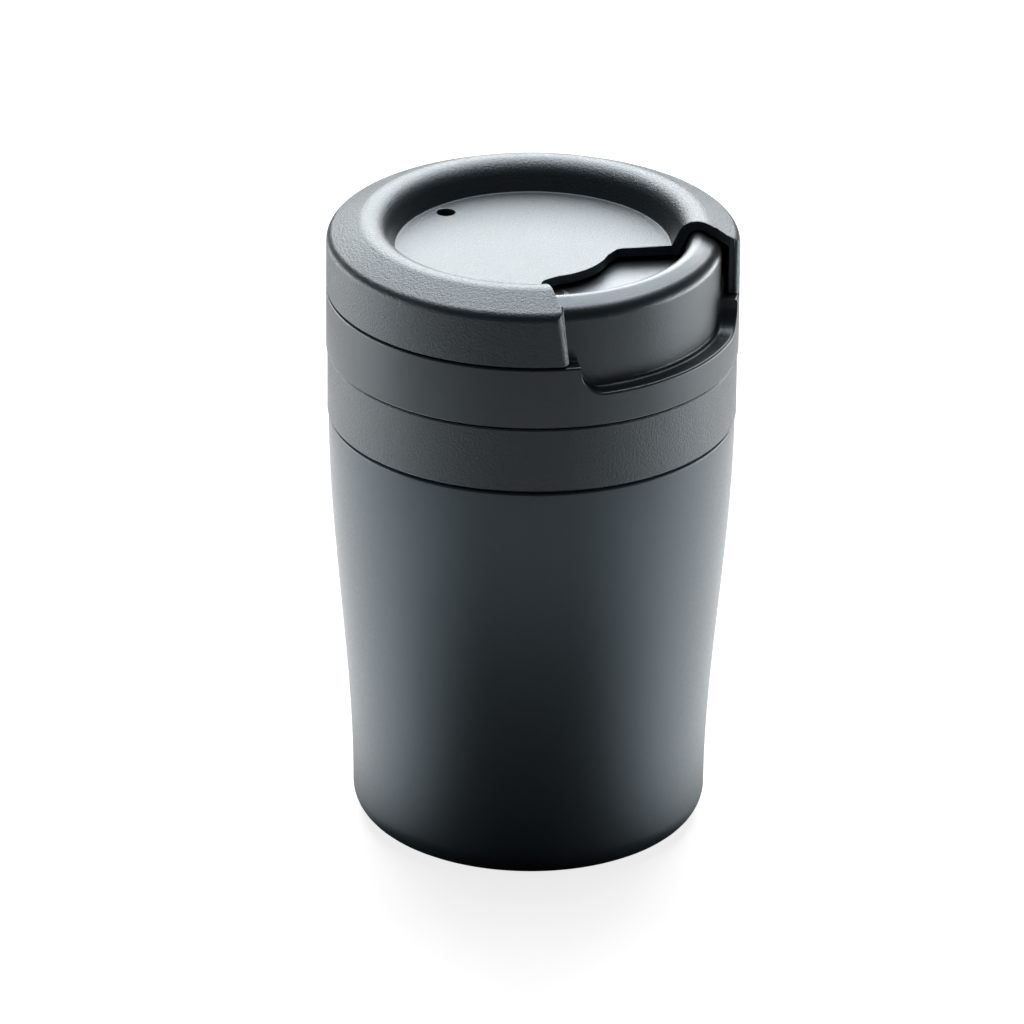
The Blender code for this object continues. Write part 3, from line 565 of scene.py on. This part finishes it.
def lid_section(lip):
    """The lid's section for one height of its lip."""
    slope, wall = rim_lines(CAP_WALL + RIM_SLOPE_GAP)
    inner_wall = rim_inner_wall()
    corner = point_at_radius(slope, DRINK_RADIUS)
    crest = meeting_point(slope, wall)
    bend = point_at_radius(wall, inner_wall)
    return rounded([
        (LID_RADIUS, RING_BOTTOM, RING_EDGE),
        (FLANGE_SEAT, RING_BOTTOM, 0.0),
        (FLANGE_SEAT, LID_LEDGE, 0.0),
        (LID_CHAMBER, LID_LEDGE, 0.0),
        (LID_CHAMBER, RIM_FLOOR_BOTTOM, 0.0),
        (HUB_BORE, RIM_FLOOR_BOTTOM, 0.0),
        (HUB_BORE, RIM_FLOOR_TOP, 0.0),
        (inner_wall, RIM_FLOOR_TOP, RIM_FOOT_ROUND),
        (inner_wall, bend.y, RIM_FOOT_ROUND),
        (crest.x, crest.y, RIM_CREST_ROUND),
        (DRINK_RADIUS, corner.y, RIM_CORNER_ROUND),
        (DRINK_RADIUS, lip, DIP_FOOT_ROUND),
        (LID_RADIUS, lip, DIP_LIP_ROUND),
    ])


def make_lid():
    """The lid's outside ring with the lip's dip, drinking rim and floor in one moulding."""
    turns = [360.0 * step / SEGMENTS - 180.0 for step in range(SEGMENTS)]
    turns = [turn for turn in turns if not DIP_ZONE[0] < abs(turn) < DIP_ZONE[1]]
    for step in range(DIP_END_STEPS + 1):
        turn = DIP_ZONE[0] + (DIP_ZONE[1] - DIP_ZONE[0]) * step / DIP_END_STEPS
        turns += [turn, -turn]
    rows = []
    for turn in sorted(turns):
        flat = direction(CUT_DIRECTION + turn)
        section = lid_section(RING_TOP - dip_rise(turn))
        rows.append([(*(radius * flat), height) for radius, height in section])
    lid = swept("lid_shell", [rows], around=True)
    slot_in, slot_out = slot_radii()
    below = RIM_FLOOR_BOTTOM - CAP_WALL
    above = RIM_FLOOR_TOP + CAP_WALL
    slot = sector("slot_cut", slot_in, slot_out, SLOT_DIRECTION, SLOT_HALF_ANGLE, below, above)
    combine(lid, slot, 'DIFFERENCE')
    vent_place = VENT_PLACE * direction(VENT_DIRECTION)
    combine(lid, disc("rim_vent_cut", vent_place, VENT_RADIUS, below, above), 'DIFFERENCE')
    stop_middle = CUT_DIRECTION + 180.0 - CAP_TRAVEL / 2.0
    groove = sector("stop_cut", STOP_RADIUS - STOP_WIDTH / 2.0, STOP_RADIUS + STOP_WIDTH / 2.0, stop_middle,
                    STOP_REACH, RIM_FLOOR_TOP - STOP_DEPTH, above)
    combine(lid, groove, 'DIFFERENCE')
    soften_cuts(lid, CUT_EDGE)
    return lid


def make_plug():
    """The hollow threaded plug under the lid, with a passage for the drink and one for air."""
    profile = rounded([
        (0.0, PLUG_BOTTOM, 0.0),
        (PLUG_RADIUS, PLUG_BOTTOM, PLUG_EDGE_ROUND),
        (PLUG_RADIUS, PLUG_FLANGE_BOTTOM, 0.0),
        (FLANGE_RADIUS, PLUG_FLANGE_BOTTOM, 0.0),
        (FLANGE_RADIUS, PLUG_FLANGE_TOP, 0.0),
        (PLUG_INNER, PLUG_FLANGE_TOP, 0.0),
        (PLUG_INNER, PLUG_FLOOR_TOP, PLUG_EDGE_ROUND),
        (0.0, PLUG_FLOOR_TOP, 0.0),
    ], closed=False)
    plug = turned("plug_shell", profile, closed=False)
    between = THREAD_FIRST + 180.0 / THREAD_STARTS
    ridges = thread_ridges("plug_ridges", PLUG_RADIUS - THREAD_EMBED, PLUG_RADIUS + THREAD_DEPTH, between)
    combine(plug, ridges, 'UNION')
    slot_in, slot_out = slot_radii()
    wall_angle = math.degrees(PASSAGE_WALL / slot_in)
    embedded = (PLUG_BOTTOM + PLUG_FLOOR_TOP) / 2.0
    below = PLUG_BOTTOM - PASSAGE_WALL
    above = PASSAGE_TOP + PASSAGE_WALL
    vent_place = VENT_PLACE * direction(VENT_DIRECTION)
    chute = sector("chute_wall", slot_in - PASSAGE_WALL, slot_out + PASSAGE_WALL, SLOT_DIRECTION,
                   SLOT_HALF_ANGLE + wall_angle, embedded, PASSAGE_TOP)
    combine(plug, chute, 'UNION')
    combine(plug, disc("vent_wall", vent_place, VENT_RADIUS + PASSAGE_WALL, embedded, PASSAGE_TOP), 'UNION')
    chute_cut = sector("chute_cut", slot_in, slot_out, SLOT_DIRECTION, SLOT_HALF_ANGLE, below, above)
    combine(plug, chute_cut, 'DIFFERENCE')
    combine(plug, disc("plug_vent_cut", vent_place, VENT_RADIUS, below, above), 'DIFFERENCE')
    soften_cuts(plug, CUT_EDGE)
    return plug


def cut_plan():
    """The plan of the cap's opening: a rounded bite whose mouth flares into the skirt's side."""
    tangent_radius = LID_RADIUS / math.cos(math.radians(CUT_FLARE))
    side = [(CUT_CORNER_RADIUS, CUT_CORNER_HALF_ANGLE, CUT_ROUND),
            (RECESS_RADIUS, CUT_WALL_HALF_ANGLE, CUT_ROUND),
            (LID_RADIUS, CUT_OUTER_HALF_ANGLE, CUT_LIP_ROUND),
            (tangent_radius, CUT_OUTER_HALF_ANGLE + CUT_FLARE, 0.0)]
    inner = [(CUT_INNER_RADIUS, CUT_INNER_HALF_ANGLE * share / CUT_INNER_STEPS, 0.0)
             for share in range(-CUT_INNER_STEPS, CUT_INNER_STEPS + 1)]
    outside = [(2.0 * LID_RADIUS, 0.0, 0.0)]
    polar = [(radius, -turn, bend) for radius, turn, bend in reversed(side)] + inner + side + outside
    corners = [(*(radius * direction(CUT_DIRECTION + turn)), bend) for radius, turn, bend in polar]
    return rounded(corners)


def lean_in(cutter, bottom):
    """Turn the lower ends of the bite's mouth towards its middle, so that its edges slant."""
    for vert in cutter.data.vertices:
        place = vert.co.xy
        if vert.co.z > bottom + FIT:
            continue
        turn = math.remainder(math.degrees(math.atan2(place.y, place.x)) - CUT_DIRECTION, 360.0)
        reach = (place.length - RECESS_RADIUS) / (LID_RADIUS - RECESS_RADIUS)
        lean = math.copysign(CUT_LEAN * min(max(reach, 0.0), 1.0), -turn)
        vert.co.xy = Matrix.Rotation(math.radians(lean), 2) @ place


def make_cap():
    """The turning cap: dished top, skirt, hub, and the bite that frees the drinking rim."""
    slope, wall = rim_lines(CAP_WALL)
    skirt_inner = LID_RADIUS - CAP_SKIRT_WALL
    skirt_top = point_at_radius(slope, skirt_inner)
    crest = meeting_point(slope, wall)
    wall_foot = point_at_height(wall, CAP_FLOOR_BOTTOM)
    profile = rounded([
        (0.0, RECESS_FLOOR, 0.0),
        (RECESS_RADIUS, RECESS_FLOOR, RECESS_ROUND),
        (APEX_RADIUS, CAP_APEX, CAP_CREST_ROUND),
        (LID_RADIUS, CAP_CORNER, CAP_CORNER_ROUND),
        (LID_RADIUS, CAP_BOTTOM, RING_EDGE / 2.0),
        (skirt_inner, CAP_BOTTOM, 0.0),
        (skirt_top.x, skirt_top.y, RIM_FOOT_ROUND),
        (crest.x, crest.y, CAP_CREST_ROUND - CAP_WALL),
        (wall_foot.x, wall_foot.y, RIM_FOOT_ROUND),
        (HUB_RADIUS, CAP_FLOOR_BOTTOM, 0.0),
        (HUB_RADIUS, HUB_BOTTOM, 0.0),
        (0.0, HUB_BOTTOM, 0.0),
    ], closed=False)
    cap = turned("cap_top", profile, closed=False)
    above = CAP_APEX + CAP_WALL
    below = CAP_BOTTOM - CAP_WALL
    bite = prism("bite_cut", cut_plan(), below, above)
    lean_in(bite, below)
    combine(cap, bite, 'DIFFERENCE')
    vent_place = VENT_PLACE * direction(VENT_DIRECTION)
    combine(cap, disc("cap_vent_cut", vent_place, VENT_RADIUS, RIM_FLOOR_TOP, above), 'DIFFERENCE')
    soften_cuts(cap, CUT_EDGE)
    lug_side = STOP_WIDTH / 2.0 - SEAT_GAP
    lug = sector("stop_lug", STOP_RADIUS - lug_side, STOP_RADIUS + lug_side, CUT_DIRECTION + 180.0,
                 STOP_HALF_ANGLE, RIM_FLOOR_TOP - STOP_DEPTH + SEAT_GAP, CAP_FLOOR_BOTTOM + SEAT_GAP)
    combine(cap, lug, 'UNION')
    soften_cuts(cap, 0.0)
    return cap


def make_gasket():
    """The lid's soft ring, with a round-edged section."""
    inner = PLUG_RADIUS + THREAD_DEPTH
    edge = (GASKET_HIGH.z - GASKET_LOW.z) / 3.0
    profile = rounded([
        (GASKET_HIGH.x, GASKET_HIGH.z, edge), (GASKET_HIGH.x, GASKET_LOW.z, edge),
        (inner, GASKET_LOW.z, edge), (inner, GASKET_HIGH.z, edge)])
    return turned("gasket_ring", profile)


def make_cover():
    """The disc under the cup, with a softened edge and a shallow stepped dish."""
    thickness = COVER_HIGH.z - COVER_LOW.z
    radius = COVER_HIGH.x
    step = radius * COVER_STEP
    profile = rounded([
        (0.0, COVER_HIGH.z, 0.0),
        (radius, COVER_HIGH.z, thickness / 4.0),
        (radius, COVER_LOW.z, thickness / 4.0),
        (step, COVER_LOW.z, thickness / 4.0),
        (step - thickness, COVER_LOW.z + thickness / 3.0, thickness / 4.0),
        (0.0, COVER_LOW.z + thickness / 3.0, 0.0),
    ], closed=False)
    return turned("cover_disc", profile, closed=False)


class Recipe:
    """A small helper that adds and links shader nodes."""

    def __init__(self, name):
        self.material = bpy.data.materials.new(name)
        self.material.use_nodes = True
        self.tree = self.material.node_tree
        self.shader = self.tree.nodes["Principled BSDF"]

    def add(self, kind, inputs=None, **settings):
        """A node with some of its inputs set or linked."""
        node = self.tree.nodes.new(kind)
        for key, value in settings.items():
            setattr(node, key, value)
        for key, value in (inputs or {}).items():
            self.put(node.inputs[key], value)
        return node

    def put(self, socket, value):
        """Set a socket's value, or link another socket to it."""
        if isinstance(value, bpy.types.NodeSocket):
            self.tree.links.new(value, socket)
        else:
            socket.default_value = value

    def set(self, **values):
        """Set the shader's own inputs, with words for spaces written as underscores."""
        for key, value in values.items():
            self.put(self.shader.inputs[key.replace("_", " ")], value)

    def noise(self, scale, detail=2.0, stretch=(1.0, 1.0, 1.0), rough=0.5):
        """A noise value in the object's own space."""
        place = self.add('ShaderNodeTexCoord').outputs["Object"]
        moved = self.add('ShaderNodeMapping', {"Vector": place, "Scale": stretch}).outputs["Vector"]
        texture = self.add('ShaderNodeTexNoise', {"Vector": moved, "Scale": scale, "Detail": detail,
                                                  "Roughness": rough})
        return texture.outputs["Fac"]

    def spread(self, value, low, high, start=0.0, end=1.0):
        """A value spread between two limits."""
        ranged = self.add('ShaderNodeMapRange', {"Value": value, "From Min": start, "From Max": end,
                                                 "To Min": low, "To Max": high})
        return ranged.outputs["Result"]

    def blend(self, share, first, second):
        """A colour between two colours."""
        mix = self.add('ShaderNodeMix', data_type='RGBA')
        self.put(mix.inputs["Factor"], share)
        self.put(mix.inputs["A"], first)
        self.put(mix.inputs["B"], second)
        return mix.outputs["Result"]

    def sum(self, operation, *values):
        """The result of one sum on sockets or numbers."""
        return self.add('ShaderNodeMath', dict(enumerate(values)), operation=operation).outputs[0]

    def worn_edges(self):
        """One on sharp outer edges, and nothing elsewhere."""
        geometry = self.add('ShaderNodeNewGeometry')
        return self.spread(geometry.outputs["Pointiness"], 0.0, 1.0, *EDGE_SPAN)

    def bump(self, height, strength, distance):
        """A surface normal from a height."""
        node = self.add('ShaderNodeBump', {"Height": height, "Strength": strength, "Distance": distance})
        return node.outputs["Normal"]


def plastic(name, light, worn, roughness, grain_size, grain_depth):
    """Moulded black plastic with a fine spark-eroded grain."""
    recipe = Recipe(name)
    cloud = recipe.noise(PLASTIC_CLOUD, 3.0)
    grain = recipe.noise(1.0 / grain_size, 3.0, rough=0.6)
    base = recipe.blend(recipe.spread(cloud, 0.0, 1.0, *NOISE_SPAN), PLASTIC_DARK, light)
    colour = recipe.blend(recipe.spread(recipe.worn_edges(), 0.0, 0.35), base, worn)
    shine = recipe.spread(grain, roughness - 0.06, roughness + 0.06, *NOISE_SPAN)
    relief = recipe.bump(grain, 0.9, grain_depth)
    # The reflections take a blue tint that stands for the light's colour: painted light
    recipe.set(Base_Color=colour, Roughness=shine, Specular_IOR_Level=1.0, Specular_Tint=PLASTIC_PAINTED_LIGHT_TINT)
    recipe.set(Coat_Weight=0.5, Coat_Roughness=shine, Normal=relief, Coat_Normal=relief)
    return recipe.material


def paint(name):
    """Satin paint on metal, with a faint orange-peel and a slow change of tone."""
    recipe = Recipe(name)
    cloud = recipe.noise(PAINT_CLOUD, 3.0)
    peel = recipe.noise(PAINT_PEEL, 2.0)
    flake = recipe.noise(PAINT_FLAKES, 1.0)
    base = recipe.blend(recipe.spread(cloud, 0.0, 1.0, *NOISE_SPAN), PAINT_DARK, PAINT_LIGHT)
    colour = recipe.blend(recipe.spread(flake, 0.0, 0.2, *FLAKE_SPAN), base, PAINT_FLAKE)
    shine = recipe.spread(peel, 0.38, 0.44, *NOISE_SPAN)
    relief = recipe.bump(peel, 0.12, 0.00002)
    # The reflections take a blue tint that stands for the light's colour: painted light
    recipe.set(Base_Color=colour, Roughness=shine, Specular_IOR_Level=1.0, Specular_Tint=PAINT_PAINTED_LIGHT_TINT)
    recipe.set(Coat_Weight=0.6, Coat_Roughness=shine, Normal=relief, Coat_Normal=relief)
    return recipe.material


def steel(name):
    """Turned stainless steel with fine rings round the axis."""
    recipe = Recipe(name)
    rings = recipe.noise(1.0, 3.0, stretch=STEEL_RINGS)
    cloud = recipe.noise(STEEL_CLOUD, 2.0)
    colour = recipe.blend(recipe.spread(cloud, 0.0, 1.0, *NOISE_SPAN), STEEL_DARK, STEEL_LIGHT)
    recipe.set(Base_Color=colour, Metallic=1.0, Roughness=recipe.spread(rings, 0.22, 0.40, *NOISE_SPAN))
    recipe.set(Normal=recipe.bump(rings, 0.2, 0.00002))
    return recipe.material


def soft_rubber(name):
    """Matt silicone with a dusty bloom."""
    recipe = Recipe(name)
    dust = recipe.noise(RUBBER_DUST, 4.0)
    colour = recipe.blend(recipe.spread(dust, 0.0, 1.0, *DUST_SPAN), RUBBER_DARK, RUBBER_LIGHT)
    recipe.set(Base_Color=colour, Roughness=recipe.spread(dust, 0.62, 0.8, *NOISE_SPAN))
    recipe.set(Specular_IOR_Level=0.35, Normal=recipe.bump(dust, 0.2, 0.00003))
    return recipe.material


def mineral(name, dark, light, roughness, metallic):
    """A small sintered or fused piece with a speckled surface."""
    recipe = Recipe(name)
    speckle = recipe.noise(MINERAL_SPECKLE, 3.0)
    colour = recipe.blend(recipe.spread(speckle, 0.0, 1.0, *SPECKLE_SPAN), dark, light)
    shine = recipe.spread(speckle, roughness - 0.08, roughness + 0.08, *NOISE_SPAN)
    recipe.set(Base_Color=colour, Metallic=metallic, Roughness=shine)
    recipe.set(Normal=recipe.bump(speckle, 0.3, 0.00005))
    return recipe.material


def make_floor():
    """A wide floor, white with the object's shadow to the camera; to mirrored and bounced light it is dimmer,
    with painted shade in front and painted light at the sides and behind.
    """
    bm = bmesh.new()
    bmesh.ops.create_grid(bm, x_segments=1, y_segments=1, size=FLOOR_SIZE)
    floor = link_object("floor", bm)
    recipe = Recipe("floor_white")
    path = recipe.add('ShaderNodeLightPath').outputs
    spot = recipe.add('ShaderNodeTexCoord').outputs["Object"]
    place = recipe.add('ShaderNodeSeparateXYZ', {"Vector": spot}).outputs
    far = recipe.add('ShaderNodeVectorMath', {0: spot}, operation='LENGTH').outputs["Value"]
    side = recipe.sum('ABSOLUTE', place["X"])
    length = recipe.sum('ABSOLUTE', place["Y"])
    aside = recipe.spread(side, 0.0, 1.0, *ASIDE_SPAN)
    behind = recipe.spread(place["Y"], 0.0, 1.0, *BEHIND_SPAN)
    beside = recipe.sum('MULTIPLY', recipe.spread(side, 0.0, 1.0, *BESIDE_SPAN), behind)
    ahead = recipe.spread(length, 0.0, AHEAD_LEVEL, *AHEAD_SPAN)
    fade = recipe.spread(far, 1.0, FADE_LEVEL, *FADE_SPAN)
    # Mask of painted light on the floor: bright at the sides and behind, dark close in front, fading far off
    painted_light = recipe.sum('MAXIMUM', recipe.sum('MAXIMUM', aside, beside), ahead)
    painted_light = recipe.sum('MULTIPLY', painted_light, fade)
    # Glow seen only by mirrored and transmitted rays, following the painted light mask: a painted reflection
    # of a lit floor
    mirrored = recipe.sum('MAXIMUM', path["Is Glossy Ray"], path["Is Transmission Ray"])
    glow = recipe.sum('MULTIPLY', recipe.sum('MULTIPLY', mirrored, painted_light), PAINTED_REFLECTION_GLOW)
    plain = recipe.spread(far, FLOOR_GLOW, 1.0, *FLOOR_GLOW_SPAN)
    glow = recipe.sum('MULTIPLY_ADD', path["Is Camera Ray"], plain, glow)
    # Colour for bounced light: painted shade in front, blended to painted light at the sides and behind
    colour = recipe.blend(painted_light, FLOOR_PAINTED_SHADE, FLOOR_PAINTED_LIGHT)
    colour = recipe.blend(path["Is Camera Ray"], colour, FLOOR_WHITE)
    recipe.set(Base_Color=colour, Roughness=FLOOR_ROUGHNESS, Specular_IOR_Level=0.0)
    recipe.set(Emission_Color=WHITE, Emission_Strength=glow)
    floor.data.materials.append(recipe.material)


def make_lights():
    """Soft panels: large ones behind and above, and one low at each side."""
    for name, place, aim, width, height, brightness in LAMPS:
        lamp = bpy.data.lights.new(name, 'AREA')
        lamp.shape = 'RECTANGLE'
        lamp.size = width
        lamp.size_y = height
        lamp.energy = brightness * math.pi * width * height
        holder = bpy.data.objects.new(name, lamp)
        bpy.context.scene.collection.objects.link(holder)
        holder.location = place
        holder.rotation_euler = (Vector(aim) - Vector(place)).to_track_quat('-Z', 'Y').to_euler()
    world = bpy.data.worlds.new("studio")
    world.use_nodes = True
    background = world.node_tree.nodes["Background"]
    background.inputs["Color"].default_value = WHITE
    background.inputs["Strength"].default_value = WORLD_LEVEL
    bpy.context.scene.world = world
    bpy.context.scene.view_settings.view_transform = 'Standard'


def make_camera():
    """The camera at the photograph's place, aim and roll."""
    tilt = math.radians(CAMERA_ELEVATION)
    place = Vector((0.0, -CAMERA_DISTANCE * math.cos(tilt), CAMERA_PIVOT + CAMERA_DISTANCE * math.sin(tilt)))
    ahead = (CAMERA_AIM - place).normalized()
    right = ahead.cross(Vector((0.0, 0.0, 1.0))).normalized()
    up = right.cross(ahead)
    turn = Matrix.Rotation(CAMERA_ROLL, 3, 'Z')
    axes = Matrix((right, up, -ahead)).transposed() @ turn
    data = bpy.data.cameras.new("photo_camera")
    data.sensor_width = SENSOR
    data.lens = SENSOR * FOCAL_PIXELS / IMAGE_SIZE
    camera = bpy.data.objects.new("photo_camera", data)
    bpy.context.scene.collection.objects.link(camera)
    camera.matrix_world = Matrix.Translation(place) @ axes.to_4x4()
    bpy.context.scene.camera = camera


def main():
    """Make the pieces, dress every node, and set the stage."""
    grained = plastic("grained_plastic", GRAINED_LIGHT, GRAINED_WORN, roughness=0.42,
                      grain_size=0.00042, grain_depth=0.00012)
    satin = plastic("satin_plastic", SATIN_LIGHT, SATIN_WORN, roughness=0.34,
                    grain_size=0.00030, grain_depth=0.00004)
    shell_paint = paint("shell_paint")
    stainless = steel("stainless_steel")
    silicone = soft_rubber("silicone")
    glass = mineral("sealing_glass", GLASS_DARK, GLASS_LIGHT, roughness=0.2, metallic=0.0)
    getter = mineral("getter_alloy", GETTER_DARK, GETTER_LIGHT, roughness=0.7, metallic=0.8)

    finish_piece(make_shell(), shell_paint, "cup", "shell_paint", "outer_shell")
    finish_piece(make_liner(), stainless, "cup", "steel", "inner_liner")
    finish_piece(make_cover(), stainless, "cup", "steel", "base_cover")
    finish_piece(make_collar(), grained, "cup", "grained_plastic", "collar")
    finish_piece(make_gasket(), silicone, "gasket", "silicone", "lid_gasket")
    finish_piece(make_lid(), satin, "lid", "satin_plastic", "lid_body")
    finish_piece(make_plug(), satin, "lid", "satin_plastic", "lid_plug")
    finish_piece(make_cap(), grained, "cap", "grained_plastic", "turn_cap")

    kept = {
        stainless: ("shell_bottom", "wave_spring", "pivot_washer", "pivot_screw"),
        silicone: ("neck_seal", "drink_seal", "vent_seal", "pivot_oring"),
        glass: ("vacuum_seal",),
        getter: ("getter",),
    }
    for material, nodes in kept.items():
        for node in nodes:
            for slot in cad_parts[node].material_slots:
                slot.link = 'OBJECT'
                slot.material = material

    make_floor()
    make_lights()
    make_camera()


main()
